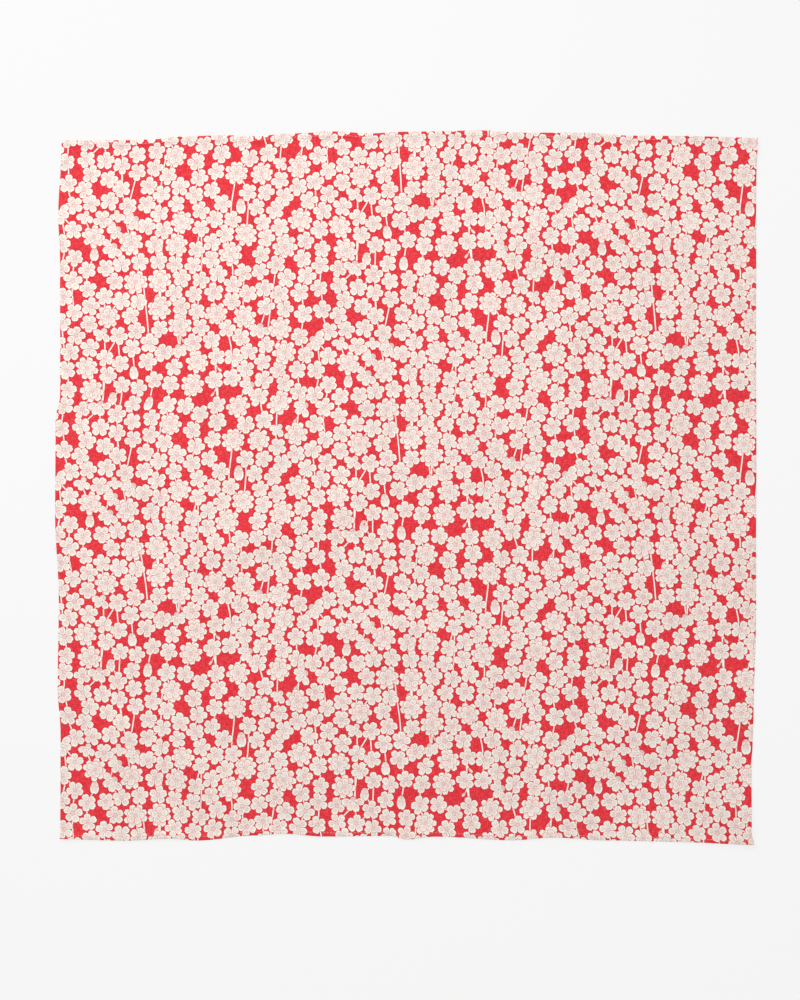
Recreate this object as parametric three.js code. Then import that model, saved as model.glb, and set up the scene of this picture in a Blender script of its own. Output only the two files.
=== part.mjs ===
// A printed cotton wrapping cloth (furoshiki), opened out and lying flat on a table.
// Units are millimetres. +Z is up, and +Y points to the cloth's top hem.
// The origin is on the table, under the middle of the cloth's box.
// The cloth is one piece. Its top and bottom hems and its two woven side edges are part of it.

import * as THREE from 'three';
import { mergeVertices } from 'three/addons/utils/BufferGeometryUtils.js';

// The hemmed cloth's size, mean of its opposite edges from corner to corner.
const clothWidth = 694;
const clothHeight = 702;

// Thickness of the cloth, and how much more its turned hems and side edges add.
const clothThick = 1.0;
const hemWidth = 5.0;
const hemExtra = 0.9;
const sideEdgeWidth = 3.0;
const sideEdgeExtra = 0.3;
const stepWidth = 1.2;

// Spacing of the surface points across the open field.
const cellsAcross = 40;
const cellsDown = 40;
const weldTolerance = 1e-3;

// Where the four corners lie, how high each one curls up, and how far in the curl starts.
const corners = {
  topLeft: { x: -344, y: 347, lift: 2.5, reach: 55 },
  topRight: { x: 351, y: 349.5, lift: 4, reach: 70 },
  bottomLeft: { x: -345.5, y: -350.5, lift: 3, reach: 60 },
  bottomRight: { x: 345.5, y: -356, lift: 6, reach: 95 },
};

// How each edge leaves the straight line between its corners.
// at is the distance from the edge's left or top corner, out is how far it bows outwards,
// and lift is how high the edge waves off the table there.
const topEdge = [
  { at: 0, out: 0, lift: 0 },
  { at: 60, out: 0.3, lift: 1.2 },
  { at: 88, out: 1.0, lift: 0.4 },
  { at: 120, out: 4.0, lift: 0 },
  { at: 163, out: 4.8, lift: 1.6 },
  { at: 193, out: 3.7, lift: 0.6 },
  { at: 225, out: 6.4, lift: 0 },
  { at: 275, out: 8.3, lift: 1.4 },
  { at: 306, out: 6.3, lift: 0.3 },
  { at: 345, out: 8.0, lift: 0 },
  { at: 418, out: 8.6, lift: 1.8 },
  { at: 463, out: 6.5, lift: 0.5 },
  { at: 523, out: 6.2, lift: 0 },
  { at: 568, out: 3.0, lift: 1.5 },
  { at: 618, out: 2.8, lift: 0.3 },
  { at: 695, out: 0, lift: 0 },
];
const bottomEdge = [
  { at: 0, out: 0, lift: 0 },
  { at: 60, out: 1.5, lift: 1.0 },
  { at: 112, out: -1.0, lift: 2.2 },
  { at: 135, out: 0.8, lift: 0.6 },
  { at: 195, out: -4.7, lift: 0 },
  { at: 225, out: -7.0, lift: 2.6 },
  { at: 262, out: -4.3, lift: 0.8 },
  { at: 330, out: -5.2, lift: 0 },
  { at: 345, out: -2.0, lift: 1.4 },
  { at: 375, out: -5.3, lift: 2.2 },
  { at: 450, out: -1.9, lift: 0 },
  { at: 495, out: -5.3, lift: 2.4 },
  { at: 540, out: -2.7, lift: 0.8 },
  { at: 630, out: -1.5, lift: 0 },
  { at: 692, out: 0, lift: 0 },
];
const leftEdge = [
  { at: 0, out: 0, lift: 0 },
  { at: 74, out: 3.4, lift: 1.4 },
  { at: 119, out: 1.7, lift: 0.4 },
  { at: 254, out: 1.3, lift: 0 },
  { at: 279, out: 5.7, lift: 0.8 },
  { at: 374, out: 5.9, lift: 1.6 },
  { at: 459, out: 2.2, lift: 0.3 },
  { at: 546, out: 3.0, lift: 1.2 },
  { at: 594, out: 0.2, lift: 0 },
  { at: 698, out: 0, lift: 0 },
];
const rightEdge = [
  { at: 0, out: 0, lift: 0 },
  { at: 30, out: -0.9, lift: 0.6 },
  { at: 161, out: 0.1, lift: 0 },
  { at: 361, out: 1.6, lift: 1.0 },
  { at: 481, out: 2.4, lift: 0.4 },
  { at: 571, out: 0.5, lift: 1.6 },
  { at: 651, out: -1.0, lift: 0.6 },
  { at: 694, out: -1.0, lift: 0 },
  { at: 706, out: 1.5, lift: 0 },
];
const edgeWaveReach = 42;

// Soft ridges where the cloth doesn't lie down fully.
// Each runs from one point to another, and is height high and halfWidth wide on each side.
const ridges = [
  { fromX: -201, fromY: -64, toX: -86, toY: -32, height: 1.3, halfWidth: 22 },
  { fromX: -86, fromY: -32, toX: 24, toY: 48, height: 1.5, halfWidth: 24 },
  { fromX: 120, fromY: 250, toX: 236, toY: 205, height: 0.9, halfWidth: 34 },
  { fromX: -250, fromY: 170, toX: -170, toY: 262, height: 0.8, halfWidth: 36 },
  { fromX: 150, fromY: -170, toX: 262, toY: -236, height: 1.1, halfWidth: 38 },
  { fromX: -262, fromY: -238, toX: -150, toY: -210, height: 0.8, halfWidth: 34 },
];

function lengthOf(rows) {
  return rows[rows.length - 1].at;
}

// One column of an edge's table, at a share of the way along the edge, eased from row to row.
function along(rows, share, column) {
  const at = share * lengthOf(rows);
  const next = rows.findIndex((row) => row.at >= at);
  if (next <= 0) {
    return rows[next < 0 ? rows.length - 1 : 0][column];
  }
  const before = rows[next - 1];
  const after = rows[next];
  const eased = THREE.MathUtils.smoothstep(at, before.at, after.at);
  return THREE.MathUtils.lerp(before[column], after[column], eased);
}

// A point on one edge. share runs from 0 to 1 between two corners, and outX, outY point outwards.
function edgePoint(from, to, rows, outX, outY, share) {
  const bow = along(rows, share, 'out');
  const x = THREE.MathUtils.lerp(from.x, to.x, share) + outX * bow;
  const y = THREE.MathUtils.lerp(from.y, to.y, share) + outY * bow;
  return new THREE.Vector2(x, y);
}

// A place on the cloth: across runs from the left edge to the right, down from the top hem.
// The four edges are blended into each other, so the print's threads follow all of them.
function clothPoint(across, down) {
  const { topLeft, topRight, bottomLeft, bottomRight } = corners;
  const top = edgePoint(topLeft, topRight, topEdge, 0, 1, across);
  const bottom = edgePoint(bottomLeft, bottomRight, bottomEdge, 0, -1, across);
  const left = edgePoint(topLeft, bottomLeft, leftEdge, -1, 0, down);
  const right = edgePoint(topRight, bottomRight, rightEdge, 1, 0, down);
  const blend = (axis) => {
    const rows = THREE.MathUtils.lerp(top[axis], bottom[axis], down);
    const columns = THREE.MathUtils.lerp(left[axis], right[axis], across);
    const upper = THREE.MathUtils.lerp(topLeft[axis], topRight[axis], across);
    const lower = THREE.MathUtils.lerp(bottomLeft[axis], bottomRight[axis], across);
    return rows + columns - THREE.MathUtils.lerp(upper, lower, down);
  };
  return new THREE.Vector2(blend('x'), blend('y'));
}

// 1 at a distance of zero, falling smoothly to 0 at reach.
function fade(distance, reach) {
  return 1 - THREE.MathUtils.smoothstep(distance, 0, reach);
}

function ridgeHeight(ridge, place) {
  const start = new THREE.Vector2(ridge.fromX, ridge.fromY);
  const run = new THREE.Vector2(ridge.toX, ridge.toY).sub(start);
  const share = THREE.MathUtils.clamp(place.clone().sub(start).dot(run) / run.lengthSq(), 0, 1);
  const nearest = start.addScaledVector(run, share);
  return ridge.height * fade(place.distanceTo(nearest), ridge.halfWidth);
}

function cornerHeight(corner, place) {
  const distance = place.distanceTo(new THREE.Vector2(corner.x, corner.y));
  return corner.lift * fade(distance, corner.reach);
}

// How far the cloth's underside is off the table. Most of it touches.
function liftAt(across, down, place) {
  const waves = [
    along(topEdge, across, 'lift') * fade(down * clothHeight, edgeWaveReach),
    along(bottomEdge, across, 'lift') * fade((1 - down) * clothHeight, edgeWaveReach),
    along(leftEdge, down, 'lift') * fade(across * clothWidth, edgeWaveReach),
    along(rightEdge, down, 'lift') * fade((1 - across) * clothWidth, edgeWaveReach),
  ];
  const ridgeParts = ridges.map((ridge) => ridgeHeight(ridge, place));
  const cornerParts = Object.values(corners).map((corner) => cornerHeight(corner, place));
  return Math.max(...waves, ...ridgeParts, ...cornerParts);
}

// The cloth is thicker in its turned hems and a little thicker in its woven side edges.
function thicknessAt(across, down) {
  const fromHem = Math.min(down, 1 - down) * clothHeight;
  const fromSide = Math.min(across, 1 - across) * clothWidth;
  const hem = 1 - THREE.MathUtils.smoothstep(fromHem, hemWidth, hemWidth + stepWidth);
  const side = 1 - THREE.MathUtils.smoothstep(fromSide, sideEdgeWidth, sideEdgeWidth + stepWidth);
  return clothThick + Math.max(hem * hemExtra, side * sideEdgeExtra);
}

// Shares of the way across, with extra lines at the inner edge of each border.
function linePlaces(cells, length, border) {
  const inner = border + stepWidth;
  const open = length - 2 * inner;
  const places = [0, border];
  for (let i = 0; i <= cells; i += 1) {
    places.push(inner + (open * i) / cells);
  }
  places.push(length - border, length);
  return places.map((place) => place / length);
}

function clothGeometry() {
  const acrossLines = linePlaces(cellsAcross, clothWidth, sideEdgeWidth);
  const downLines = linePlaces(cellsDown, clothHeight, hemWidth);
  const lastAcross = acrossLines.length - 1;
  const lastDown = downLines.length - 1;
  const slab = new THREE.BoxGeometry(1, 1, 1, lastAcross, lastDown, 1);
  slab.deleteAttribute('normal');
  slab.deleteAttribute('uv');
  const sheet = mergeVertices(slab, weldTolerance);
  const points = sheet.attributes.position;
  for (let i = 0; i < points.count; i += 1) {
    const across = acrossLines[Math.round((points.getX(i) + 0.5) * lastAcross)];
    const down = downLines[Math.round((0.5 - points.getY(i)) * lastDown)];
    const onTop = points.getZ(i) > 0;
    const place = clothPoint(across, down);
    const under = liftAt(across, down, place);
    const z = onTop ? under + thicknessAt(across, down) : under;
    points.setXYZ(i, place.x, place.y, z);
  }
  return sheet;
}

// Puts the middle of the cloth's box over the origin, with its underside on the table.
function centred(geometry) {
  geometry.computeBoundingBox();
  const middle = geometry.boundingBox.getCenter(new THREE.Vector3());
  geometry.translate(-middle.x, -middle.y, -geometry.boundingBox.min.z);
  geometry.computeVertexNormals();
  return geometry;
}

const printedCotton = new THREE.MeshStandardMaterial({
  color: new THREE.Color('#e9a9a6'),
  roughness: 0.92,
  metalness: 0,
});

const furoshiki = new THREE.Group();
const cloth = new THREE.Mesh(centred(clothGeometry()), printedCotton);
cloth.name = 'cloth';
furoshiki.add(cloth);

export default furoshiki;
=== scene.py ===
# A furoshiki wrapping cloth, opened out and lying flat: one panel of cotton with a blossom print,
# a turned and sewn hem at its top and bottom, and a woven edge down each side.
import math
import random
from functools import partial
import bpy
import numpy as np
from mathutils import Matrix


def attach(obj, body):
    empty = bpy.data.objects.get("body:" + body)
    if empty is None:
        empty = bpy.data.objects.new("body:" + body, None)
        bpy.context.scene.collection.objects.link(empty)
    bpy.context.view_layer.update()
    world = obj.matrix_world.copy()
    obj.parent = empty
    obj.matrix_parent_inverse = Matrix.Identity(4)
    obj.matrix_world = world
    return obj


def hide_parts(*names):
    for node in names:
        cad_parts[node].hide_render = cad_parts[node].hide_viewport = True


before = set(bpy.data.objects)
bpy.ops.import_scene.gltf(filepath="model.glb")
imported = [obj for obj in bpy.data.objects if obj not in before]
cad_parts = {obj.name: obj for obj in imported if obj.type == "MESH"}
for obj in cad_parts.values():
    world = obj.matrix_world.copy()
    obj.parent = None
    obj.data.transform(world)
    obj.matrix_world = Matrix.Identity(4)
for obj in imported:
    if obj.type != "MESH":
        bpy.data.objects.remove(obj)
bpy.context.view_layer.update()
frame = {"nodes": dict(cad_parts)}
mm = 0.001
print("frame loaded:", ", ".join(frame["nodes"]))


# small helpers for numbers, meshes and nodes

def smooth(low, high, value):
    share = np.clip((value - low) / (high - low), 0, 1)
    return share * share * (3 - 2 * share)


def mix(first, second, share):
    return first + (second - first) * share


def srgb(red, green, blue):
    parts = [value / 255 for value in (red, green, blue)]
    linear = [v / 12.92 if v < 0.04045 else ((v + 0.055) / 1.055) ** 2.4 for v in parts]
    return (*linear, 1.0)


def addNode(tree, kind, **settings):
    node = tree.nodes.new(kind)
    for name, value in settings.items():
        setattr(node, name, value)
    return node


def setInputs(node, values):
    for label, value in values.items():
        node.inputs[label].default_value = value


def plug(tree, value, socket):
    if isinstance(value, bpy.types.NodeSocket):
        tree.links.new(value, socket)
    else:
        socket.default_value = value


def calc(tree, operation, *values):
    node = addNode(tree, "ShaderNodeMath", operation=operation)
    for value, socket in zip(values, node.inputs):
        plug(tree, value, socket)
    return node.outputs[0]


def ramp(tree, value, low, high, start=0.0, end=1.0):
    node = addNode(tree, "ShaderNodeMapRange", interpolation_type="SMOOTHSTEP")
    labels = ("Value", "From Min", "From Max", "To Min", "To Max")
    for label, given in zip(labels, (value, low, high, start, end)):
        plug(tree, given, node.inputs[label])
    return node.outputs["Result"]


def blend(tree, share, below, above):
    # the colour sockets of a Mix node are its inputs 6 and 7 and its output 2
    node = addNode(tree, "ShaderNodeMix", data_type="RGBA")
    for number, value in ((0, share), (6, below), (7, above)):
        plug(tree, value, node.inputs[number])
    return node.outputs[2]


def split(tree, vector):
    node = addNode(tree, "ShaderNodeSeparateXYZ")
    plug(tree, vector, node.inputs[0])
    return tuple(node.outputs)


def combine(tree, x=0.0, y=0.0, z=0.0):
    node = addNode(tree, "ShaderNodeCombineXYZ")
    for value, socket in zip((x, y, z), node.inputs):
        plug(tree, value, socket)
    return node.outputs[0]


def readAttribute(tree, name):
    node = addNode(tree, "ShaderNodeAttribute", attribute_name=name, attribute_type="GEOMETRY")
    return node.outputs["Vector"]


def newGroup(name, takes, gives):
    tree = bpy.data.node_groups.new(name, "ShaderNodeTree")
    kinds = {"value": "NodeSocketFloat", "vector": "NodeSocketVector", "colour": "NodeSocketColor"}
    for label, kind in takes.items():
        tree.interface.new_socket(name=label, in_out="INPUT", socket_type=kinds[kind])
    for label, kind in gives.items():
        tree.interface.new_socket(name=label, in_out="OUTPUT", socket_type=kinds[kind])
    source = tree.nodes.new("NodeGroupInput")
    sink = tree.nodes.new("NodeGroupOutput")
    return tree, source.outputs, sink.inputs


def placeGroup(tree, group, **given):
    node = addNode(tree, "ShaderNodeGroup", node_tree=group)
    for label, value in given.items():
        plug(tree, value, node.inputs[label])
    return node.outputs


def newMaterial(name):
    material = bpy.data.materials.new(name)
    material.use_nodes = True
    tree = material.node_tree
    shader = next(node for node in tree.nodes if node.type == "BSDF_PRINCIPLED")
    return material, tree, shader


def placeInScene(name, data):
    thing = bpy.data.objects.new(name, data)
    bpy.context.scene.collection.objects.link(thing)
    return thing


# the cloth: its outline, its waves and its hems, in millimetres

clothShape = {
    "width": 694.0,
    "height": 702.0,
    "thickness": 1.0,
    "hemWidth": 5.0,       # depth of the turned hems at the top and bottom
    "hemExtra": 0.9,       # how much thicker the turned hem is
    "sideWidth": 3.0,      # the woven side edges
    "sideExtra": 0.3,
    "sideRound": 0.5,      # radius of their outer edge, and the share of it on the reverse
    "backRound": 0.7,
    "step": 1.2,           # how soon a hem runs out into the open cloth
    "flapStep": 0.35,      # how far the reverse stands off the end of the hem's flap
    "flapReach": 2.5,      # and how soon it comes down to the table
    "cell": 4.0,           # spacing of the mesh lines
    "waveReach": 42.0,     # how far in the edges' waves reach
    "rippleHeight": 0.22,  # small puckers beside the sewn hems
    "ripplePitch": 2.9,
    # x, y, how high the corner curls, and from how far in
    "corners": ((-344, 347, 2.5, 55), (351, 349.5, 4, 70), (-345.5, -350.5, 3, 60), (345.5, -356, 6, 95)),
    # distance along the edge, how far it bows outwards, how high it waves off the table
    "topEdge": (
        (0, 0, 0), (60, 0.3, 1.2), (88, 1, 0.4), (120, 4, 0), (163, 4.8, 1.6), (193, 3.7, 0.6),
        (225, 6.4, 0), (275, 8.3, 1.4), (306, 6.3, 0.3), (345, 8, 0), (418, 8.6, 1.8),
        (463, 6.5, 0.5), (523, 6.2, 0), (568, 3, 1.5), (618, 2.8, 0.3), (695, 0, 0),
    ),
    "bottomEdge": (
        (0, 0, 0), (60, 1.5, 1), (112, -1, 2.2), (135, 0.8, 0.6), (195, -4.7, 0), (225, -7, 2.6),
        (262, -4.3, 0.8), (330, -5.2, 0), (345, -2, 1.4), (375, -5.3, 2.2), (450, -1.9, 0),
        (495, -5.3, 2.4), (540, -2.7, 0.8), (630, -1.5, 0), (692, 0, 0),
    ),
    "leftEdge": (
        (0, 0, 0), (74, 3.4, 1.4), (119, 1.7, 0.4), (254, 1.3, 0), (279, 5.7, 0.8), (374, 5.9, 1.6),
        (459, 2.2, 0.3), (546, 3, 1.2), (594, 0.2, 0), (698, 0, 0),
    ),
    "rightEdge": (
        (0, 0, 0), (30, -0.9, 0.6), (161, 0.1, 0), (361, 1.6, 1), (481, 2.4, 0.4), (571, 0.5, 1.6),
        (651, -1, 0.6), (694, -1, 0), (706, 1.5, 0),
    ),
    # soft ridges where the cloth doesn't lie down: from, to, height, half width
    "ridges": (
        (-201, -64, -86, -32, 1.3, 22), (-86, -32, 24, 48, 1.5, 24), (120, 250, 236, 205, 0.9, 34),
        (-250, 170, -170, 262, 0.8, 36), (150, -170, 262, -236, 1.1, 38), (-262, -238, -150, -210, 0.8, 34),
    ),
}


def eased(rows, share):
    # the rows of an edge's table at shares of the way along it, eased from row to row
    rows = np.array(rows, float)
    at = share * rows[-1, 0]
    after = np.clip(np.searchsorted(rows[:, 0], at), 1, len(rows) - 1)
    low, high = rows[after - 1], rows[after]
    return mix(low, high, smooth(low[..., 0], high[..., 0], at)[..., None])


def edgePlace(start, end, edge, share, outwards):
    # a place on an edge, which bows out from the straight line between its corners
    straight = mix(start, end, share[..., None])
    return straight + eased(clothShape[edge], share)[..., 1:2] * np.array(outwards)


def clothPlace(across, down):
    # across runs from the left edge to the right, down from the top hem, both from 0 to 1
    corners = [np.array(corner[:2], float) for corner in clothShape["corners"]]
    topLeft, topRight, bottomLeft, bottomRight = corners
    a, d = across[..., None], down[..., None]
    top = edgePlace(topLeft, topRight, "topEdge", across, (0, 1))
    bottom = edgePlace(bottomLeft, bottomRight, "bottomEdge", across, (0, -1))
    left = edgePlace(topLeft, bottomLeft, "leftEdge", down, (-1, 0))
    right = edgePlace(topRight, bottomRight, "rightEdge", down, (1, 0))
    square = mix(mix(topLeft, topRight, a), mix(bottomLeft, bottomRight, a), d)
    return mix(top, bottom, d) + mix(left, right, a) - square


def liftAt(across, down, place):
    # how far the cloth's underside is off the table
    shape = clothShape
    reach = shape["waveReach"]
    parts = []
    for edge, share, distance in (
        ("topEdge", across, down * shape["height"]),
        ("bottomEdge", across, (1 - down) * shape["height"]),
        ("leftEdge", down, across * shape["width"]),
        ("rightEdge", down, (1 - across) * shape["width"]),
    ):
        parts.append(eased(shape[edge], share)[..., 2] * (1 - smooth(0, reach, distance)))
    for fromX, fromY, toX, toY, height, halfWidth in shape["ridges"]:
        start = np.array((fromX, fromY), float)
        run = np.array((toX, toY), float) - start
        share = np.clip(((place - start) @ run) / (run @ run), 0, 1)
        distance = np.linalg.norm(place - start - share[..., None] * run, axis=-1)
        parts.append(height * (1 - smooth(0, halfWidth, distance)))
    for x, y, height, cornerReach in shape["corners"]:
        distance = np.linalg.norm(place - np.array((x, y), float), axis=-1)
        parts.append(height * (1 - smooth(0, cornerReach, distance)))
    return (np.array(parts) ** 4).sum(0) ** 0.25


def puckers(across, down):
    # small ripples that the hem seams draw up, dying out within 26 mm.
    # Their pace and their height wander along the hem.
    shape = clothShape
    along = across * shape["width"]
    wave = np.sin(along / shape["ripplePitch"] + 1.7 * np.sin(along / 17)) * np.sin(along / 41 + 0.8) ** 2
    fromHem = np.minimum(down, 1 - down) * shape["height"]
    height = shape["rippleHeight"] * (1 + wave) / 2
    return height * smooth(1, 6, fromHem) * (1 - smooth(9, 26, fromHem))


def foldRadius():
    return (clothShape["thickness"] + clothShape["hemExtra"]) / 2


def hemProfile(place):
    # place is how far the print's surface has run from the top of the fold. It gives the distance from
    # the cloth's edge, and the height over the underside, round the fold and back under the hem.
    shape = clothShape
    radius = foldRadius()
    turn = np.clip((radius - place) / radius, 0, math.pi)
    under = np.maximum(radius - math.pi * radius - place, 0)
    distance = np.where(place >= radius, place, radius - radius * np.sin(turn) + under)
    onHem = 1 - smooth(shape["hemWidth"], shape["hemWidth"] + shape["step"], place)
    flat = shape["thickness"] + shape["hemExtra"] * onHem
    return distance, np.where(place >= radius, flat, radius + radius * np.cos(turn))


def meshLines(length, start):
    # lines that are close together at both borders, and a cell apart between them
    start = np.array(start, float)
    cells = round((length - 2 * start[-1]) / clothShape["cell"])
    middle = np.linspace(start[-1], length - start[-1], cells + 1)
    return np.concatenate([start[:-1], middle, (length - start[:-1])[::-1]])


def printLines():
    # the flat print's mesh lines. They start under the hem, at the end of its flap.
    shape = clothShape
    radius, hem, side, step = foldRadius(), shape["hemWidth"], shape["sideWidth"], shape["step"]
    fold = [radius - radius * math.pi * turn for turn in (1, 0.8, 0.6, 0.4, 0.2, 0)]
    flapEnd = fold[0] - (hem - radius)
    rows = meshLines(shape["height"], [flapEnd, flapEnd + 2, *fold, 2.4, 3.8, hem, hem + 0.6, hem + step])
    columns = meshLines(shape["width"], [0, 0.15, 0.5, 1.4, side, side + step])
    return columns, rows


def clothPoints(columns, rows, reverse):
    # the face or the reverse: where its points lie in space, and where on the flat print
    shape = clothShape
    width, height = shape["width"], shape["height"]
    x, y = np.meshgrid(columns, rows)
    fromHem = np.minimum(y, height - y)
    fromSide = np.minimum(x, width - x)
    distance, rise = hemProfile(fromHem)
    across = x / width
    down = np.where(y < height / 2, distance, height - distance) / height
    place = clothPlace(across, down)
    radius = shape["sideRound"]
    inwards = np.clip(radius - fromSide, 0, radius)
    rounded = radius - np.sqrt(np.maximum(radius ** 2 - inwards ** 2, 0))
    if reverse:
        hem = shape["hemWidth"]
        offFlap = 1 - smooth(hem, hem + shape["flapReach"], fromHem)
        z = shape["flapStep"] * offFlap + rounded * shape["backRound"]
    else:
        onSide = 1 - smooth(shape["sideWidth"], shape["sideWidth"] + shape["step"], fromSide)
        onTop = fromHem >= foldRadius()
        z = np.where(onTop, np.maximum(rise, shape["thickness"] + shape["sideExtra"] * onSide), rise)
        z = z - np.where(onTop, rounded, -shape["backRound"] * rounded * (rise < 0.5))
    z = z + liftAt(across, down, place) + puckers(across, down)
    return np.dstack([place[..., 0], place[..., 1], z]), np.dstack([x, y, np.zeros_like(x)])


# the print: blossoms, buds and hanging stems, in millimetres across and down the flat cloth

layout = {
    "across": 253.0,     # one repeat; the next one along is half a repeat lower
    "down": 267.5,
    "strands": 12,       # hanging stems in a repeat
    "seed": 29,
    "wander": 0.8,       # how far a strand may be from its even place
    "sway": (0.3, 3.9),  # how far blossoms stand to either side of their strand
    "doubleSway": 0.4,   # the share of that for a double blossom
    "swing": (0.5, 1.8),  # how far a strand winds
    "spray": (3, 6),     # blossoms that follow each other
    "bareChance": 0.1,   # after a blossom, of a length of bare stem
    "bare": (5.0, 16.0),
    "budChance": 0.05,   # after a spray, of a bud on its stalk
    "budStalk": (4, 7),
    "budRoom": 15,
    "budSize": (14.5, 16.0),
    "budGap": (2, 6),    # open cloth below it
    "budLeaf": 7.0,
    "restChance": 0.1,   # or of bare stem after the spray
    "rest": (8.8, 15.8),
    "bareRadius": 5.0,   # room that is kept free round bare stem and buds
    "budRadius": 7.2,
    "squeeze": 1.03,     # under 1, neighbouring blossoms overlap
    "tall": 1.02,        # over 1, they overlap more along the strand than across it
    "spring": 0.03,      # how strongly blossoms keep to their strand
    "push": 0.3,         # how strongly they push each other apart, and in how many steps
    "steps": 50,
    "longestStep": 2,
    "petals": {"open": (5, 0.10), "double": (8, 0.05)},  # count, and how far they stand out
    "petalTurns": 9,     # ways to turn a blossom that are tried
    "sideRoom": 0.92,    # the room that a blossom seen from the side needs
    "sideSize": 1.35,    # and how much longer than its radius it is drawn
    "innerSize": 0.68,   # the inner flower of a double blossom
    "bareFrom": 22.0,    # between blossoms this far apart, some of the stem shows
    "forkChance": 0.2,   # where it does, of a second stem beside it
    "twigChance": 0.4,   # and of a twig with a small leaf
    "leastFall": 7,      # how far a stem behind the blossoms falls for each mm sideways
    "bow": 1.6,          # how far a stem may bow aside, and a long one
    "longBow": 3,
    "stemHalf": 0.62,    # half the width of a stem and of a twig
    "twigHalf": 0.5,
    "longStems": 40,     # bare stems that hang behind the blossoms, in a repeat
    "longStem": (35.0, 75.0),
    "deepest": 4,        # motifs that may lie over one another at a place
    "stemsMet": 3,       # stems that may cross there
}
farAway = 500.0  # mm from a place that a motif or stem doesn't reach

# how each motif is drawn: the angle from petal to petal, petals on each side, petal width, centre
motifKinds = {
    "open": (72, 2, 0.354, 0.42),
    "ring": (45, 3.5, 0.236, 0.64),
    "half": (50, 1.5, 0.27, 0.26),
    "side": (46, 1, 0.26, 0.24),
    "bud": (40, 0, 0.29, 0.0),
    "leaf": (20, 0, 0.19, 0.0),
}

# blossoms by sort: share of all, smallest and largest radius, room down the stem
blossomSorts = {
    "double": (0.155, 12.2, 13.2, 21.0),
    "side": (0.03, 8.0, 9.4, 13.1),
    "half": (0.03, 8.6, 9.8, 14.2),
    "open": (0.785, 9.2, 10.2, 16.6),
}


def pickSort(dice):
    roll = dice.random()
    for name, (share, small, large, room) in blossomSorts.items():
        roll -= share
        if roll < 0:
            break
    return name, dice.uniform(small, large), room


def hangStrand(dice, strand):
    # one hanging stem of a repeat: sprays of blossoms, with bare stem, buds and gaps between them
    down = layout["down"]
    wander = layout["wander"]
    middle = (strand + 0.5) * layout["across"] / layout["strands"] + dice.uniform(-wander, wander)
    items = []
    left = down
    while left > 0:
        for _ in range(dice.randint(*layout["spray"])):
            sort, size, room = pickSort(dice)
            items.append((sort, room, size))
            if dice.random() < layout["bareChance"]:
                items.append(("bare", dice.uniform(*layout["bare"]), 0))
        tail = dice.random()
        if tail < layout["budChance"]:
            items.append(("bare", dice.uniform(*layout["budStalk"]), 0))
            items.append(("bud", layout["budRoom"], dice.uniform(*layout["budSize"])))
            items.append(("gap", dice.uniform(*layout["budGap"]), 0))
        elif tail < layout["budChance"] + layout["restChance"]:
            items.append(("bare", dice.uniform(*layout["rest"]), 0))
        left = down - sum(room for _, room, _ in items)
    scale = down / sum(room for _, room, _ in items)
    y = dice.uniform(0, down)
    side = dice.choice((-1, 1))
    phase, swing = dice.uniform(0, math.tau), dice.uniform(*layout["swing"])
    hung = []
    for sort, room, size in items:
        at = y + room * scale / 2
        x = middle
        if sort in blossomSorts:
            share = layout["doubleSway"] if sort == "double" else 1
            x += side * dice.uniform(*layout["sway"]) * share
            x += swing * math.sin(at / down * math.tau * (2 + strand % 3) + phase)
            side = -side
        if sort != "gap":
            hung.append({"sort": sort, "x": x, "y": at, "size": size, "strand": strand})
        y += room * scale
    return hung


def nearest(dx, dy):
    # the shortest way between two places of the repeating print
    across, down = layout["across"], layout["down"]
    turns = np.round(dx / across)
    dx = dx - turns * across
    dy = dy - turns * down / 2
    return dx, dy - np.round(dy / down) * down


def spreadOut(hung, dice):
    # pushes the motifs of a repeat apart, and turns the blossoms so that their petals fit between
    # the petals of those beside them
    places = np.array([(item["x"], item["y"]) for item in hung])
    home = places[:, 0].copy()
    fixed = {"bare": layout["bareRadius"], "bud": layout["budRadius"]}
    radii = np.array([fixed.get(item["sort"], item["size"] * layout["squeeze"]) for item in hung])
    radii *= np.array([layout["sideRoom"] if item["sort"] in ("side", "half") else 1 for item in hung])
    petals, depth = np.array([layout["petals"].get(item["sort"], (1, 0.0)) for item in hung]).T
    turns = np.array([dice.uniform(0, math.tau) for _ in hung])
    ways = layout["petalTurns"]

    def reach(turns, towards):
        wave = np.cos(petals[:, None] * (towards - turns[:, None]))
        return radii[:, None] * (1 + depth[:, None] * wave)

    for step in range(layout["steps"]):
        gaps = places[:, None] - places[None]
        dx, dy = nearest(gaps[..., 0], gaps[..., 1])
        distance = np.hypot(dx, dy * layout["tall"]) + 1e-6
        np.fill_diagonal(distance, farAway)
        towards = np.arctan2(-dy, -dx)
        others = reach(turns, towards).T
        tries = [turns + math.tau / petals * k / ways for k in range(ways)]
        costs = [(np.clip(reach(turn, towards) + others - distance, 0, None) ** 2).sum(1) for turn in tries]
        best = np.array(tries)[np.argmin(costs, 0), np.arange(len(hung))]
        # a third of the blossoms turn at each step, so that neighbours don't keep swapping
        turns = np.where((np.arange(len(hung)) + step) % 3 == 0, best, turns)
        push = np.clip(reach(turns, towards) + reach(turns, towards).T - distance, 0, None) / distance
        move = np.stack([(push * dx).sum(1), (push * dy).sum(1)], 1) * layout["push"]
        move[:, 0] += (home - places[:, 0]) * layout["spring"]
        length = np.linalg.norm(move, axis=1, keepdims=True)
        places += move * np.minimum(1, layout["longestStep"] / np.maximum(length, 1e-9))
    for item, (x, y), turn in zip(hung, places, turns):
        item["x"], item["y"], item["turn"] = float(x), float(y), float(turn)


def motif(kind, x, y, turn, size, seed, order):
    return dict(kind=kind, x=x, y=y, turn=turn, size=size, seed=seed, order=order)


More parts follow.
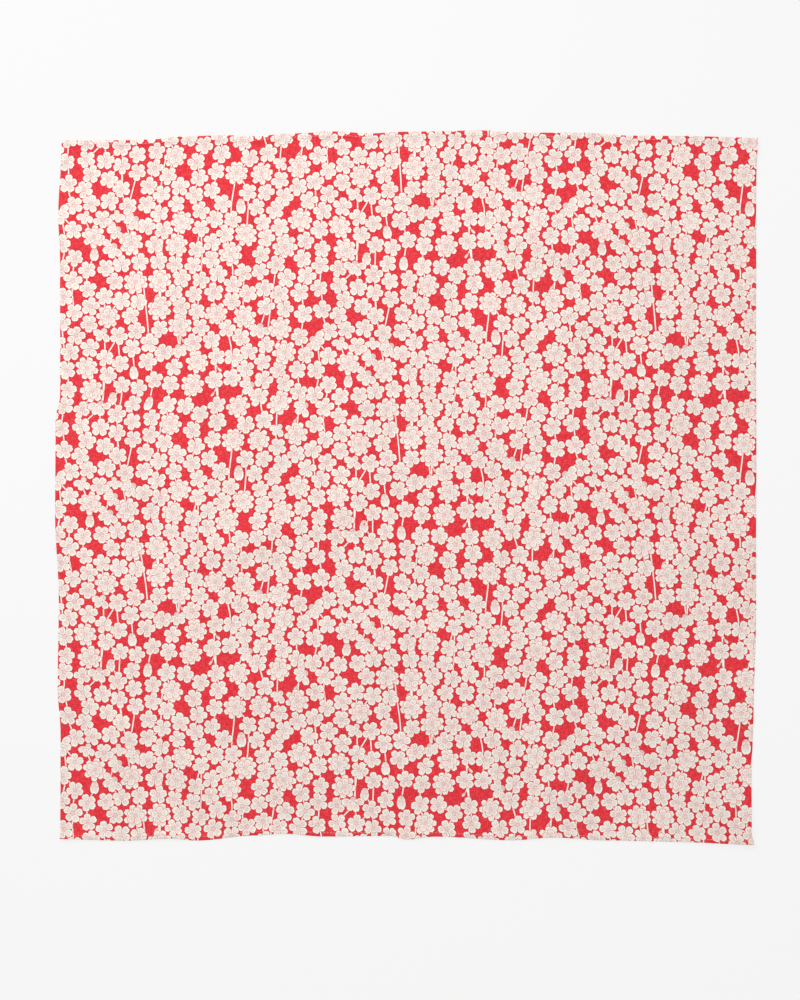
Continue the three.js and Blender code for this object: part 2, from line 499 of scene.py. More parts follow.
def bowedStem(start, end, bow):
    # a stem in three straight pieces that bow a little to one side
    (startX, startY), (endX, endY) = start, end
    length = max(math.hypot(endX - startX, endY - startY), 0.01)
    aside = ((endY - startY) / length * bow, (startX - endX) / length * bow)
    line = []
    for share, out in ((0, 0), (0.35, 0.9), (0.7, 0.85), (1, 0)):
        line.append((mix(startX, endX, share) + aside[0] * out, mix(startY, endY, share) + aside[1] * out))
    return [(*first, *second, layout["stemHalf"]) for first, second in zip(line[:-1], line[1:])]


def closestBlossom(hung, x, y):
    # the middle of the blossom nearest to a place, in whichever repeat it lies
    ways = [nearest(item["x"] - x, item["y"] - y) for item in hung if item["sort"] in blossomSorts]
    dx, dy = min(ways, key=lambda way: math.hypot(*way))
    return x + float(dx), y + float(dy)


def steepStem(start, end, bow):
    # a stem from blossom to blossom, left out where it would lie across the cloth
    if end[1] - start[1] < layout["leastFall"] * abs(end[0] - start[0]):
        return []
    return bowedStem(start, end, bow)


def stepBack(x, y, turn, length):
    # the place from which a motif that points along turn reaches x, y
    return x - math.cos(turn) * length, y - math.sin(turn) * length


def drawMotifs(hung, dice):
    # where motifs lie over one another, the one with the highest order is on top
    motifs = []
    for item in hung:
        x, y, size, sort = item["x"], item["y"], item["size"], item["sort"]
        order, turn, seed = dice.random(), item["turn"], dice.random()
        if sort == "double":
            inner = size * layout["innerSize"]
            motifs.append(motif("ring", x, y, turn + math.radians(22.5), size, seed, 1.2 + order))
            motifs.append(motif("open", x, y, turn + math.radians(36), inner, seed + 0.3, 1.2001 + order))
        elif sort == "open":
            motifs.append(motif("open", x, y, turn, size, seed, 1 + order))
        elif sort in ("side", "half"):
            turn = math.radians(dice.choice((90, 90, 60, 120, 30, 150)) + dice.uniform(-14, 14))
            size *= layout["sideSize"]
            motifs.append(motif(sort, *stepBack(x, y, turn, size * 0.45), turn, size, seed, 0.8 + order))
        elif sort == "bud":
            turn = math.radians(90 + dice.uniform(-12, 12))
            base = stepBack(x, y, turn, size * 0.56)
            motifs.append(motif("bud", *base, turn, size, seed, 1.5))
            for lean in (0.5, -0.5):
                motifs.append(motif("leaf", *base, turn + lean, layout["budLeaf"], seed, 1.6))
    return motifs


def drawRepeat():
    dice = random.Random(layout["seed"])
    hung = [item for strand in range(layout["strands"]) for item in hangStrand(dice, strand)]
    spreadOut(hung, dice)
    motifs, stems = drawMotifs(hung, dice), []
    bow, longBow = layout["bow"], layout["longBow"]
    for strand in range(layout["strands"]):
        row = [item for item in hung if item["strand"] == strand and item["sort"] != "bare"]
        row.sort(key=lambda item: item["y"])
        row.append(dict(row[0], y=row[0]["y"] + layout["down"]))
        for above, below in zip(row[:-1], row[1:]):
            start, end = (above["x"], above["y"]), (below["x"], below["y"])
            line = bowedStem(start, end, dice.uniform(-bow, bow))
            stems.extend(line)
            if end[1] - start[1] < layout["bareFrom"]:
                continue
            if dice.random() < layout["forkChance"]:
                aim = end[0] + dice.choice((-1, 1)) * dice.uniform(4, 9), end[1] + dice.uniform(4, 12)
                stems.extend(steepStem(start, closestBlossom(hung, *aim), dice.uniform(-bow, bow)))
            if dice.random() < layout["twigChance"]:
                side = dice.choice((-1, 1))
                x, y = line[1][:2]
                tipX, tipY = x + side * dice.uniform(1.6, 3.0), y + dice.uniform(2.5, 4.5)
                stems.append((x, y, tipX, tipY, layout["twigHalf"]))
                turn = math.atan2(tipY - y, tipX - x) - dice.uniform(-0.1, 0.4) * side
                base = stepBack(tipX, tipY, turn, 1)
                motifs.append(motif("leaf", *base, turn, dice.uniform(5.5, 7.0), dice.random(), 0.5))
    for _ in range(layout["longStems"]):
        gap = dice.randrange(layout["strands"]) * layout["across"] / layout["strands"]
        x, y = gap + dice.uniform(-2, 2), dice.uniform(0, layout["down"])
        start = closestBlossom(hung, x, y)
        end = closestBlossom(hung, x + dice.uniform(-4, 4), y + dice.uniform(*layout["longStem"]))
        stems.extend(steepStem(start, end, dice.uniform(-longBow, longBow)))
    return motifs, stems


def repeatPlaces():
    across, down = layout["across"], layout["down"]
    for i in range(-1, int(clothShape["width"] / across) + 2):
        for j in range(-2, int(clothShape["height"] / down) + 2):
            yield i * across, (j + i * 0.5) * down


def motifReach(item):
    # the middle and radius of the circle that holds all of a motif
    x, y, turn, size = item["x"], item["y"], item["turn"], item["size"]
    if item["kind"] in ("bud", "leaf"):
        return x + math.cos(turn) * size * 0.55, y + math.sin(turn) * size * 0.55, size * 0.55
    return x, y, size * 1.05


def cellsMet(columns, rows, x, y, radius):
    # the mesh cells that a circle touches, with how far the circle's middle is from each
    fromColumn = max(np.searchsorted(columns, x - radius) - 1, 0)
    toColumn = min(np.searchsorted(columns, x + radius), len(columns) - 1)
    fromRow = max(np.searchsorted(rows, y - radius) - 1, 0)
    toRow = min(np.searchsorted(rows, y + radius), len(rows) - 1)
    for i in range(fromRow, toRow):
        gapY = max(rows[i] - y, y - rows[i + 1], 0)
        for j in range(fromColumn, toColumn):
            gapX = max(columns[j] - x, x - columns[j + 1], 0)
            if gapX * gapX + gapY * gapY < radius * radius:
                yield i, j


def layPrint(columns, rows):
    # for each mesh cell, the motifs that lie in it from the top one down, and the stems that cross it
    motifs, stems = drawRepeat()
    met, crossed = {}, {}
    stemReach = 2.2  # mm, with the shade beside a stem
    for offX, offY in repeatPlaces():
        for item in motifs:
            here = dict(item, x=item["x"] + offX, y=item["y"] + offY)
            for cell in cellsMet(columns, rows, *motifReach(here)):
                met.setdefault(cell, []).append(here)
        for fromX, fromY, toX, toY, half in stems:
            start = np.array((fromX + offX, fromY + offY))
            end = np.array((toX + offX, toY + offY))
            run = end - start
            length = max(float(np.linalg.norm(run)), 0.01)
            pieces = max(int(length / 3), 1)
            cells = set()
            for k in range(pieces + 1):
                x, y = start + run * k / pieces
                cells.update(cellsMet(columns, rows, x, y, stemReach))
            for cell in cells:
                crossed.setdefault(cell, []).append((start, run / length, length, half))
    print(len(motifs), "motifs and", len(stems), "stems in a repeat;", len(met), "cells printed")
    return met, crossed


def printAttributes(columns, rows):
    # motif data for each cell, and for each corner of a cell how far it is from the stems
    met, crossed = layPrint(columns, rows)
    down, across = len(rows) - 1, len(columns) - 1
    deepest = layout["deepest"]
    place = np.zeros((deepest, down, across, 3))
    build = np.ones((deepest, down, across, 3))
    petals = np.ones((deepest, down, across, 3))
    place[..., 0] = -farAway
    for (i, j), items in met.items():
        items.sort(key=lambda item: -item["order"])
        for k, item in enumerate(items[:deepest]):
            sector, sides, width, heart = motifKinds[item["kind"]]
            place[k, i, j] = item["x"], item["y"], item["turn"]
            build[k, i, j] = item["size"], item["seed"], heart
            petals[k, i, j] = math.radians(sector), sides, width
    stem = np.full((layout["stemsMet"], down, across, 4, 3), farAway)
    for (i, j), items in crossed.items():
        corners = np.array([(columns[j + b], rows[i + a]) for a, b in ((0, 0), (1, 0), (1, 1), (0, 1))])
        centre = corners.mean(0)
        found = []
        for start, along, length, half in items:
            nearestAt = np.clip((centre - start) @ along, 0, length)
            distance = float(np.linalg.norm(centre - start - along * nearestAt))
            found.append((distance, start, along, length, half))
        found.sort(key=lambda entry: entry[0])
        for k, (_, start, along, length, half) in enumerate(found[:layout["stemsMet"]]):
            offset = corners - start
            scale = layout["stemHalf"] / half
            stem[k, i, j, :, 0] = (offset[:, 0] * along[1] - offset[:, 1] * along[0]) * scale
            stem[k, i, j, :, 1] = (offset @ along - length / 2) * scale
            stem[k, i, j, :, 2] = length / 2 * scale
    return place, build, petals, stem


# the cotton's materials

cottonLook = {
    "red": srgb(236, 50, 62),
    "cream": srgb(247, 249, 238),
    "blush": srgb(237, 208, 201),
    "rose": srgb(194, 84, 90),
    "redPale": srgb(226, 120, 118),   # the reverse, where the red has gone through the cloth
    "creamPale": srgb(240, 226, 214),
    "blushPale": srgb(238, 218, 208),
    "rosePale": srgb(232, 196, 188),
    "deepRed": 0.62,       # brightness of the deeper red between threads and round the petals
    "threadDark": 0.30,    # how much of the deeper red and of the cream the threads show
    "threadLight": 0.035,
    "slubDark": 0.2,
    "stemShade": 0.3,      # the deeper ground beside a stem, and round a motif
    "motifShade": 0.55,
    "outline": 0.85,       # the red line round a blossom that lies on another
    "rosyLines": 0.75,     # veins, seams and rays
    "threadPitch": 0.62,   # mm from thread to thread
    "roughness": 0.72,
    "sheen": 0.1,
    "sheenRoughness": 0.45,
    "specular": 0.2,
    "bump": 0.35,
    "bumpDistance": 0.12,  # mm
}

# a petal's shape, in units of the motif's radius
petalShape = {
    "lean": 0.16,          # radians from one side to the other
    "shorter": 0.10,       # the shortest petal, against the longest
    "lobe": 0.37,          # half the length of the round lobe, and what a bud's has more
    "budMore": 0.08,
    "flare": 0.22,         # wider towards its tip
    "notchHalf": 0.13,     # the notch in the tip
    "notchDepth": 0.055,
    "veins": 7.0,          # how closely veins and rays stand, and how strong they are
    "rays": 8.0,
    "veinInk": 0.6,
    "seamInk": 0.6,
    "rayInk": 0.4,
}


def blossomGroup():
    # one printed motif: petals round a centre
    shape = petalShape
    takes = dict.fromkeys(("Flat", "Place", "Build", "Petals"), "vector")
    gives = dict.fromkeys(("Ink", "Depth", "Lines", "Halo", "Chance"), "value")
    tree, given, result = newGroup("printedBlossom", takes, gives)
    do, fade = partial(calc, tree), partial(ramp, tree)

    flatX, flatY, _ = split(tree, given["Flat"])
    placeX, placeY, turn = split(tree, given["Place"])
    size, seed, heart = split(tree, given["Build"])
    sector, sides, width = split(tree, given["Petals"])
    dx = do("DIVIDE", do("SUBTRACT", flatX, placeX), size)
    dy = do("DIVIDE", do("SUBTRACT", flatY, placeY), size)
    turnCos, turnSin = do("COSINE", turn), do("SINE", turn)
    u = do("MULTIPLY_ADD", dx, turnCos, do("MULTIPLY", dy, turnSin))
    v = do("SUBTRACT", do("MULTIPLY", dy, turnCos), do("MULTIPLY", dx, turnSin))
    out = do("SQRT", do("MULTIPLY_ADD", u, u, do("MULTIPLY", v, v)))
    angle = do("ARCTAN2", v, u)
    # which petal this is, counted from the motif's own direction
    odd = do("FRACT", sides)
    petal = do("ADD", do("ROUND", do("SUBTRACT", do("DIVIDE", angle, sector), odd)), odd)
    petal = do("MAXIMUM", do("MINIMUM", petal, sides), do("MULTIPLY", sides, -1.0))
    noise = addNode(tree, "ShaderNodeTexWhiteNoise", noise_dimensions="2D")
    plug(tree, combine(tree, petal, do("MULTIPLY", seed, 91.0)), noise.inputs["Vector"])
    chanceLength, chanceTurn, chanceShade = split(tree, noise.outputs["Color"])
    lean = do("MULTIPLY", do("SUBTRACT", chanceTurn, 0.5), shape["lean"])
    fromAxis = do("SUBTRACT", do("SUBTRACT", angle, do("MULTIPLY", petal, sector)), lean)
    along = do("MULTIPLY", out, do("COSINE", fromAxis))
    aside = do("MULTIPLY", out, do("SINE", fromAxis))
    # a petal is a round lobe with a small notch in its tip, and a bud or leaf is longer
    reach = do("MULTIPLY_ADD", chanceLength, -shape["shorter"], 1.0)
    lobe = do("MULTIPLY_ADD", do("LESS_THAN", sides, 0.4), shape["budMore"], shape["lobe"])
    half = do("MULTIPLY", reach, lobe)
    middle = do("SUBTRACT", reach, half)
    fromMiddle = do("SUBTRACT", along, middle)
    petalWidth = do("MULTIPLY", width, do("MULTIPLY_ADD", fromMiddle, shape["flare"], 1.0))
    longPart = do("DIVIDE", fromMiddle, half)
    widePart = do("DIVIDE", aside, petalWidth)
    egg = do("SQRT", do("MULTIPLY_ADD", longPart, longPart, do("MULTIPLY", widePart, widePart)))
    notch = fade(do("ABSOLUTE", aside), 0.0, shape["notchHalf"], shape["notchDepth"], 0.0)
    tip = do("ADD", do("DIVIDE", do("SUBTRACT", do("ADD", fromMiddle, notch), half), half), 1.0)
    inside = do("SUBTRACT", 1.0, do("MAXIMUM", egg, tip))
    inside = do("MAXIMUM", inside, do("DIVIDE", do("SUBTRACT", heart, out), 0.4))
    plug(tree, fade(inside, -0.04, 0.04), result["Ink"])
    depth = do("MULTIPLY", fade(inside, 0.16, 0.40), fade(out, 0.3, 0.9, 1.0, 0.5))
    plug(tree, depth, result["Depth"])
    plug(tree, fade(inside, -0.26, -0.03), result["Halo"])
    plug(tree, chanceShade, result["Chance"])
    # fine rose lines: veins up each petal, the seams between petals, and rays round the centre
    veins = do("ABSOLUTE", do("SINE", do("MULTIPLY_ADD", fromAxis, shape["veins"], 1.3)))
    veinReach = do("MULTIPLY", fade(out, 0.24, 0.36), fade(out, 0.6, 0.82, 1.0, 0.0))
    veins = do("MULTIPLY", fade(veins, 0.10, 0.35, 1.0, 0.0), veinReach)
    toSeam = do("MULTIPLY", do("SUBTRACT", do("MULTIPLY", sector, 0.5), do("ABSOLUTE", fromAxis)), out)
    seams = do("MULTIPLY", fade(toSeam, 0.01, 0.045, 1.0, 0.0), fade(out, 0.42, 0.55, 1.0, 0.0))
    seams = do("MULTIPLY", seams, fade(out, 0.04, 0.14))
    rays = do("ABSOLUTE", do("SINE", do("MULTIPLY_ADD", angle, shape["rays"], do("MULTIPLY", seed, 6.0))))
    rays = do("MULTIPLY", fade(rays, 0.15, 0.55, 1.0, 0.0), fade(out, 0.10, 0.16))
    rays = do("MULTIPLY", rays, fade(out, 0.27, 0.33, 1.0, 0.0))
    veins = do("MULTIPLY", veins, shape["veinInk"])
    lines = do("ADD", do("MULTIPLY", seams, shape["seamInk"]), do("MULTIPLY", rays, shape["rayInk"]))
    lines = do("ADD", veins, lines)
    lines = do("MULTIPLY", lines, fade(sides, 0.9, 2.0, 0.4, 1.0))
    plug(tree, do("MINIMUM", lines, 1.0), result["Lines"])
    return tree


def stemGroup():
    # a line drawn from how far a place is beside and along it
    tree, given, result = newGroup("printedStem", {"Stem": "vector"}, {"Ink": "value", "Halo": "value"})
    do, fade = partial(calc, tree), partial(ramp, tree)
    beside, along, half = split(tree, given["Stem"])
    beyond = do("MAXIMUM", do("SUBTRACT", do("ABSOLUTE", along), half), 0.0)
    distance = do("SQRT", do("MULTIPLY_ADD", beside, beside, do("MULTIPLY", beyond, beyond)))
    width, soft, halo = layout["stemHalf"], 0.12, 1.0
    plug(tree, fade(distance, width - soft, width + soft, 1.0, 0.0), result["Ink"])
    plug(tree, fade(distance, width, width + halo, 1.0, 0.0), result["Halo"])
    return tree


def printGroup(blossom, stem, look):
    # the whole print, laid motif by motif over the dyed ground, with the share of it that is undyed
    takes = dict.fromkeys(("Red", "Cream", "Blush", "Rose"), "colour")
    takes.update({"Slub": "value", "Thread": "value"})
    tree, given, result = newGroup("blossomPrint", takes, {"Colour": "colour", "Undyed": "value"})
    do, fade, over = partial(calc, tree), partial(ramp, tree), partial(blend, tree)
    flat = readAttribute(tree, "flatPlace")
    deeper = addNode(tree, "ShaderNodeHueSaturation")
    plug(tree, given["Red"], deeper.inputs["Color"])
    setInputs(deeper, {"Value": look["deepRed"]})
    deepRed = deeper.outputs["Color"]
    # threads show in the red as fine lighter and deeper lines
    dark = fade(given["Thread"], 0.1, 0.6, look["threadDark"], 0.0)
    colour = over(dark, given["Red"], deepRed)
    light = fade(given["Thread"], 0.5, 1.0, 0.0, look["threadLight"])
    colour = over(light, colour, given["Cream"])
    colour = over(do("MULTIPLY", given["Slub"], look["slubDark"]), colour, deepRed)
    cover = 0.0  # the share that the stems and motifs laid so far cover
    for k in reversed(range(layout["stemsMet"])):
        line = placeGroup(tree, stem, Stem=readAttribute(tree, f"stem{k + 1}"))
        shade = do("MULTIPLY", line["Halo"], look["stemShade"])
        shade = do("MULTIPLY", shade, do("SUBTRACT", 1.0, cover))
        colour = over(shade, colour, deepRed)
        colour = over(line["Ink"], colour, given["Cream"])
        cover = do("MAXIMUM", cover, line["Ink"])
    for k in reversed(range(layout["deepest"])):
        motifHere = placeGroup(
            tree, blossom, Flat=flat,
            Place=readAttribute(tree, f"motifPlace{k + 1}"),
            Build=readAttribute(tree, f"motifBuild{k + 1}"),
            Petals=readAttribute(tree, f"motifPetals{k + 1}"),
        )
        # round the motif the ground is deeper, and on a blossom below it there is a fine red outline
        edge = over(cover, deepRed, given["Red"])
        onGround = do("MULTIPLY", motifHere["Halo"], look["motifShade"])
        onPetal = fade(motifHere["Halo"], 0.15, 0.85, 0.0, look["outline"])
        shade = do("MULTIPLY_ADD", cover, do("SUBTRACT", onPetal, onGround), onGround)
        colour = over(shade, colour, edge)
        blushes = do("MULTIPLY_ADD", motifHere["Chance"], 0.5, 0.6)
        petal = over(do("MULTIPLY", motifHere["Depth"], blushes), given["Cream"], given["Blush"])
        lines = do("MULTIPLY", motifHere["Lines"], look["rosyLines"])
        petal = over(lines, petal, given["Rose"])
        colour = over(motifHere["Ink"], colour, petal)
        cover = do("MAXIMUM", cover, motifHere["Ink"])
    plug(tree, colour, result["Colour"])
    plug(tree, cover, result["Undyed"])
    return tree


def weaveGroup():
    # plain weave: threads over and under, some of them thick for a stretch
    takes = {"Flat": "vector", "Pitch": "value"}
    gives = dict.fromkeys(("Height", "Slub", "Thread"), "value")
    tree, given, result = newGroup("plainWeave", takes, gives)
    do, fade = partial(calc, tree), partial(ramp, tree)
    x, y, _ = split(tree, given["Flat"])
    turns = do("DIVIDE", math.pi, given["Pitch"])
    warp = do("SINE", do("MULTIPLY", x, turns))
    weft = do("SINE", do("MULTIPLY", y, turns))
    crossing = do("MULTIPLY", warp, weft)
    stretched = []
    for stretchX, stretchY in ((0.035, 0.9), (0.9, 0.035), (0.2, 0.8), (0.8, 0.2)):
        noise = addNode(tree, "ShaderNodeTexNoise", noise_dimensions="2D")
        spot = combine(tree, do("MULTIPLY", x, stretchX), do("MULTIPLY", y, stretchY))
        plug(tree, spot, noise.inputs["Vector"])
        setInputs(noise, {"Scale": 1.0, "Detail": 2.0})
        stretched.append(noise.outputs[0])
    slubX, slubY, threadX, threadY = stretched
    slub = fade(do("MAXIMUM", slubX, slubY), 0.5, 0.78)
    thread = do("MULTIPLY", do("ADD", threadX, threadY), 0.5)
    plug(tree, fade(thread, 0.38, 0.62), result["Thread"])
    height = do("ADD", do("MULTIPLY", crossing, 0.5), do("MULTIPLY", slub, 0.6))
    plug(tree, height, result["Height"])
    plug(tree, slub, result["Slub"])
    return tree


def printedCotton(name, inks, printTree, weaveTree, look):
    material, tree, shader = newMaterial(name)
    do, fade = partial(calc, tree), partial(ramp, tree)
    flat = readAttribute(tree, "flatPlace")
    weave = placeGroup(tree, weaveTree, Flat=flat, Pitch=look["threadPitch"])
    colours = dict(zip(("Red", "Cream", "Blush", "Rose"), inks))
    printed = placeGroup(tree, printTree, Slub=weave["Slub"], Thread=weave["Thread"], **colours)
    # broad, faint unevenness of the dye
    cloud = addNode(tree, "ShaderNodeTexNoise")
    plug(tree, flat, cloud.inputs["Vector"])
    setInputs(cloud, {"Scale": 0.02, "Detail": 3.0})
    uneven = addNode(tree, "ShaderNodeHueSaturation")
    plug(tree, printed["Colour"], uneven.inputs["Color"])
    thread = do("MULTIPLY_ADD", weave["Thread"], 0.05, -0.02)
    value = do("ADD", fade(cloud.outputs[0], 0.3, 0.7, 0.98, 1.03), thread)
    plug(tree, value, uneven.inputs["Value"])
    plug(tree, uneven.outputs["Color"], shader.inputs["Base Color"])
    rough = do("MULTIPLY_ADD", printed["Undyed"], 0.06, look["roughness"] - 0.02)
    plug(tree, rough, shader.inputs["Roughness"])
    setInputs(shader, {"Sheen Weight": look["sheen"], "Sheen Roughness": look["sheenRoughness"]})
    setInputs(shader, {"Specular IOR Level": look["specular"]})
    bump = addNode(tree, "ShaderNodeBump")
    setInputs(bump, {"Strength": look["bump"], "Distance": look["bumpDistance"] * mm})
    plug(tree, weave["Height"], bump.inputs["Height"])
    plug(tree, bump.outputs["Normal"], shader.inputs["Normal"])
    return material


# building the cloth's mesh

def stripFaces(faceIndex, backIndex, firstRow, lastRow):
    # closes the cloth along its two hem ends and down both sides
    faces, source = [], []
    lastColumn = faceIndex.shape[1] - 1
    end = faceIndex.shape[0] - 1
    for j in range(lastColumn):
        faces.append((faceIndex[0, j], faceIndex[0, j + 1], backIndex[0, j + 1], backIndex[0, j]))
        source.append((0, j))
        faces.append((faceIndex[end, j + 1], faceIndex[end, j], backIndex[-1, j], backIndex[-1, j + 1]))
        source.append((end - 1, j))
    for i in range(end):
        upper = min(max(i - firstRow, 0), lastRow - firstRow)
        lower = min(max(i + 1 - firstRow, 0), lastRow - firstRow)
        for column, flip in ((0, False), (lastColumn, True)):
            ring = [faceIndex[i + 1, column], faceIndex[i, column], backIndex[upper, column]]
            if lower != upper:
                ring.append(backIndex[lower, column])
            faces.append(tuple(reversed(ring)) if flip else tuple(ring))
            source.append((i, min(column, lastColumn - 1)))
    return faces, source


def buildCloth():
    columns, rows = printLines()
    hem = clothShape["hemWidth"]
    firstRow = int(np.argmin(abs(rows - hem)))
    lastRow = int(np.argmin(abs(rows - (clothShape["height"] - hem))))
    topPoints, topFlat = clothPoints(columns, rows, reverse=False)
    backPoints, backFlat = clothPoints(columns, rows[firstRow:lastRow + 1], reverse=True)
    points = np.concatenate([topPoints.reshape(-1, 3), backPoints.reshape(-1, 3)]) * mm
    flats = np.concatenate([topFlat.reshape(-1, 3), backFlat.reshape(-1, 3)])
    topIndex = np.arange(topPoints[..., 0].size).reshape(topPoints.shape[:2])
    backIndex = topIndex.size + np.arange(backPoints[..., 0].size).reshape(backPoints.shape[:2])
    down, across = len(rows) - 1, len(columns) - 1

    def quads(index, order):
        ring = [index[a:index.shape[0] - 1 + a, b:index.shape[1] - 1 + b] for a, b in order]
        return np.stack(ring, -1).reshape(-1, 4)

    topOrder = ((0, 0), (1, 0), (1, 1), (0, 1))
    backOrder = ((0, 0), (0, 1), (1, 1), (1, 0))
    strips, stripSource = stripFaces(topIndex, backIndex, firstRow, lastRow)
    faces = [tuple(q) for q in quads(topIndex, topOrder).tolist()]
    faces += [tuple(q) for q in quads(backIndex, backOrder).tolist()]
    faces += [tuple(int(v) for v in ring) for ring in strips]
    mesh = bpy.data.meshes.new("printedCloth")
    mesh.from_pydata(points.tolist(), [], faces)
    # the cell that each face takes its print from
    i, j = np.meshgrid(np.arange(down), np.arange(across), indexing="ij")
    backI, backJ = np.meshgrid(np.arange(firstRow, lastRow), np.arange(across), indexing="ij")
    cellI = np.concatenate([i.ravel(), backI.ravel(), [s[0] for s in stripSource]]).astype(int)
    cellJ = np.concatenate([j.ravel(), backJ.ravel(), [s[1] for s in stripSource]]).astype(int)
    place, build, petals, stem = printAttributes(columns, rows)

    def addAttribute(name, domain, values):
        attribute = mesh.attributes.new(name, "FLOAT_VECTOR", domain)
        attribute.data.foreach_set("vector", np.ascontiguousarray(values, dtype=np.float32).ravel())

    addAttribute("flatPlace", "POINT", flats)
    for k in range(layout["deepest"]):
        addAttribute(f"motifPlace{k + 1}", "FACE", place[k, cellI, cellJ])
        addAttribute(f"motifBuild{k + 1}", "FACE", build[k, cellI, cellJ])
        addAttribute(f"motifPetals{k + 1}", "FACE", petals[k, cellI, cellJ])
    topCount, backCount = down * across, (lastRow - firstRow) * across
    for k in range(layout["stemsMet"]):
        corner = np.full((len(mesh.loops), 3), farAway)
        corner[:topCount * 4] = stem[k].reshape(-1, 3)
        turned = stem[k, firstRow:lastRow][:, :, (0, 3, 2, 1)]
        corner[topCount * 4:(topCount + backCount) * 4] = turned.reshape(-1, 3)
        addAttribute(f"stem{k + 1}", "CORNER", corner)
    index = np.zeros(len(mesh.polygons), dtype=np.int32)
    index[topCount:topCount + backCount] = 1
    mesh.polygons.foreach_set("material_index", index)
    mesh.shade_smooth()
    mesh.set_sharp_from_angle(angle=math.radians(50))
    print("cloth mesh:", len(mesh.polygons), "faces")
    return placeInScene("printedCloth", mesh)


cloth = buildCloth()
printTree, weaveTree = printGroup(blossomGroup(), stemGroup(), cottonLook), weaveGroup()
for name, ending in (("printedFace", ""), ("printedReverse", "Pale")):
    inks = [cottonLook[ink + ending] for ink in ("red", "cream", "blush", "rose")]
    cloth.data.materials.append(printedCotton(name, inks, printTree, weaveTree, cottonLook))
print("cotton materials ready")


# the hem seams

hemSeam = {
    "fromEdge": 3.9,     # mm
    "fromSide": 4.0,
    "stitch": 2.7,
    "longer": (0.92, 1.06),
    "aside": 0.08,       # how far a stitch's ends may stand off the line
    "gap": 0.7,
    "thread": 0.16,      # radius
    "rings": 7,          # along a stitch, and points round each
    "around": 6,
    "colour": srgb(238, 214, 204),
    "roughness": 0.6,
    "seed": 3,
}


def stitchPoint(x, fromTop, under):
    shape = clothShape
    across = np.array([x / shape["width"]])
    down = np.array([fromTop / shape["height"]])
    place = clothPlace(across, down)
    z = liftAt(across, down, place) + puckers(across, down)
    if not under:
        z = z + shape["thickness"] + shape["hemExtra"]
    return np.array((place[0, 0], place[0, 1], float(z[0])))


def addStitch(points, faces, start, end, thread, side):
    # one stitch: a short thread that dips into the cloth at both ends
    rings, around = hemSeam["rings"], hemSeam["around"]
    run = (end - start) / np.linalg.norm(end - start)
    sideways = np.cross(run, (0, 0, 1))
    upwards = np.cross(sideways, run)
    first = len(points)
    for k in range(rings):
        share = k / (rings - 1)
        bow = math.sin(math.pi * share) ** 0.6
        centre = mix(start, end, share) + upwards * side * thread * (1.9 * bow - (1.2 if side > 0 else 2.5))
        radius = thread * (0.55 + 0.45 * bow)
        for n in range(around):
            angle = math.tau * n / around
            points.append(centre + radius * (math.cos(angle) * sideways + math.sin(angle) * upwards))
    for k in range(rings - 1):
        for n in range(around):
            a, b = first + k * around + n, first + k * around + (n + 1) % around
            faces.append((a, b, b + around, a + around))
    faces.append(tuple(range(first + around - 1, first - 1, -1)))
    last = first + (rings - 1) * around
    faces.append(tuple(range(last, last + around)))


def buildStitches():
    dice = random.Random(hemSeam["seed"])
    points, faces = [], []
    width, height = clothShape["width"], clothShape["height"]
    for fromTop in (hemSeam["fromEdge"], height - hemSeam["fromEdge"]):
        for under in (False, True):
            x = hemSeam["fromSide"] + (hemSeam["stitch"] / 2 if under else 0)
            while x + hemSeam["stitch"] < width - hemSeam["fromSide"]:
                length = hemSeam["stitch"] * dice.uniform(*hemSeam["longer"])
                wander = dice.uniform(-hemSeam["aside"], hemSeam["aside"])
                start = stitchPoint(x, fromTop + wander, under)
                end = stitchPoint(x + length, fromTop - wander, under)
                addStitch(points, faces, start, end, hemSeam["thread"], -1 if under else 1)
                x += length + hemSeam["gap"]
    mesh = bpy.data.meshes.new("hemStitches")
    mesh.from_pydata([tuple(p * mm) for p in points], [], faces)
    mesh.shade_smooth()
    print("hem seams:", len(mesh.polygons), "faces")
    return placeInScene("hemStitches", mesh)


def threadMaterial(look):
    material, tree, shader = newMaterial("sewingThread")
    place = addNode(tree, "ShaderNodeTexCoord")
    twist = addNode(tree, "ShaderNodeTexWave", bands_direction="DIAGONAL")
    plug(tree, place.outputs["Object"], twist.inputs["Vector"])
    setInputs(twist, {"Scale": 900.0})
    dark = tuple(value * 0.7 for value in look["colour"][:3]) + (1.0,)
    share = calc(tree, "MULTIPLY", twist.outputs["Fac"], 0.5)
    plug(tree, blend(tree, share, look["colour"], dark), shader.inputs["Base Color"])
    setInputs(shader, {"Roughness": look["roughness"]})
    return material


stitches = buildStitches()
stitches.data.materials.append(threadMaterial(hemSeam))


# the stage: pale floor, soft light from the upper left, camera straight above

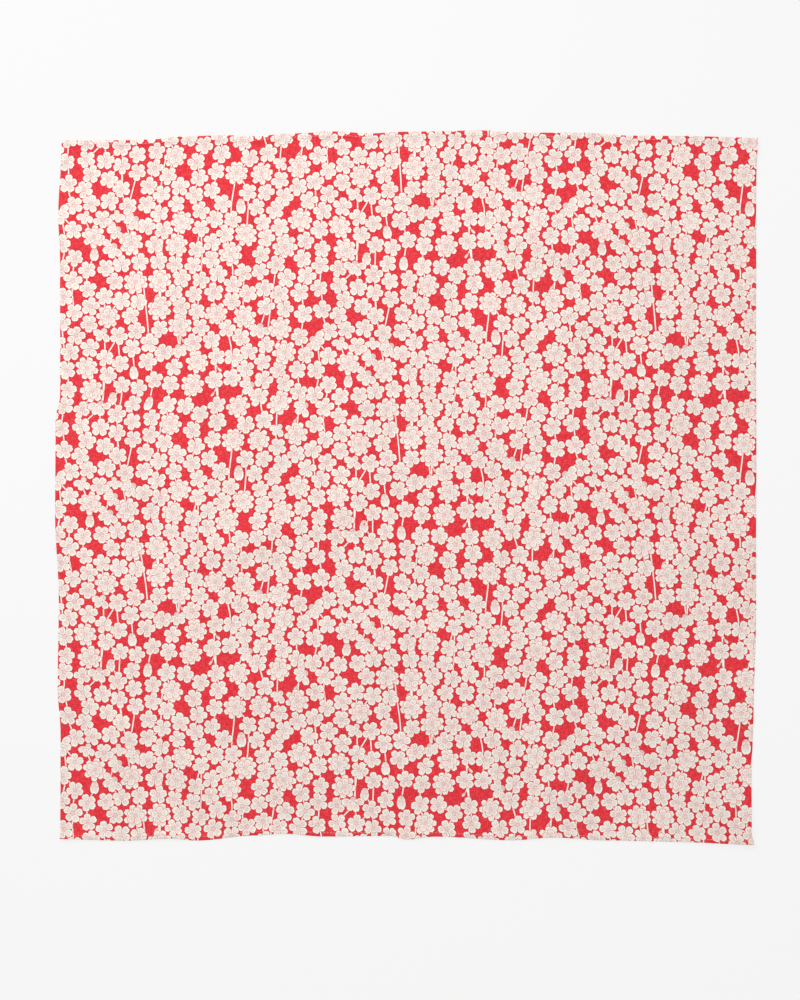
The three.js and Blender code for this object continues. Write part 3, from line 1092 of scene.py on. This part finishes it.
stage = {
    "floorSize": 9.0,
    "floor": srgb(112, 112, 112),
    "floorGlow": 0.76,
    "sky": 0.64,
    "lampPlace": (-0.6, 0.85, 1.5),
    "lampSize": 1.1,
    "lampPower": 15.5,
    "lens": 80.0,
    "sensor": 36.0,
    "aim": (-0.00615, -0.012),
    "viewHeight": 1.0,     # metres of the floor that the picture's height shows
}


def buildStage():
    scene = bpy.context.scene
    half = stage["floorSize"] / 2
    mesh = bpy.data.meshes.new("floor")
    square = [(-half, -half, 0), (half, -half, 0), (half, half, 0), (-half, half, 0)]
    mesh.from_pydata(square, [], [(0, 1, 2, 3)])
    floor = placeInScene("floor", mesh)
    material, tree, shader = newMaterial("paleFloor")
    grain = addNode(tree, "ShaderNodeTexNoise")
    setInputs(grain, {"Scale": 30.0})
    dark = tuple(value * 0.985 for value in stage["floor"][:3]) + (1.0,)
    plug(tree, blend(tree, grain.outputs[0], stage["floor"], dark), shader.inputs["Base Color"])
    setInputs(shader, {"Roughness": 0.8, "Emission Color": (1, 1, 1, 1)})
    setInputs(shader, {"Emission Strength": stage["floorGlow"]})
    mesh.materials.append(material)
    world = bpy.data.worlds.new("softSky")
    scene.world = world
    world.use_nodes = True
    background = next(node for node in world.node_tree.nodes if node.type == "BACKGROUND")
    setInputs(background, {"Color": (1, 1, 1, 1), "Strength": stage["sky"]})
    lamp = bpy.data.lights.new("softLamp", "AREA")
    lamp.shape = "DISK"
    lamp.size = stage["lampSize"]
    lamp.energy = stage["lampPower"]
    lampObject = placeInScene("softLamp", lamp)
    lampObject.location = stage["lampPlace"]
    x, y, z = stage["lampPlace"]
    lampObject.rotation_euler = (math.atan2(math.hypot(x, y), z), 0, math.atan2(y, x) + math.pi / 2)
    camera = bpy.data.cameras.new("camera")
    camera.lens = stage["lens"]
    camera.sensor_width = stage["sensor"]
    camera.sensor_fit = "AUTO"
    camera.clip_end = 50
    cameraObject = placeInScene("camera", camera)
    distance = stage["viewHeight"] * stage["lens"] / stage["sensor"]
    cameraObject.location = (*stage["aim"], distance)
    scene.camera = cameraObject
    scene.view_settings.view_transform = "Standard"
    print("stage ready, camera", round(distance, 3), "m above the floor")


buildStage()
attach(cloth, "root")
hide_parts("cloth")
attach(stitches, "root")
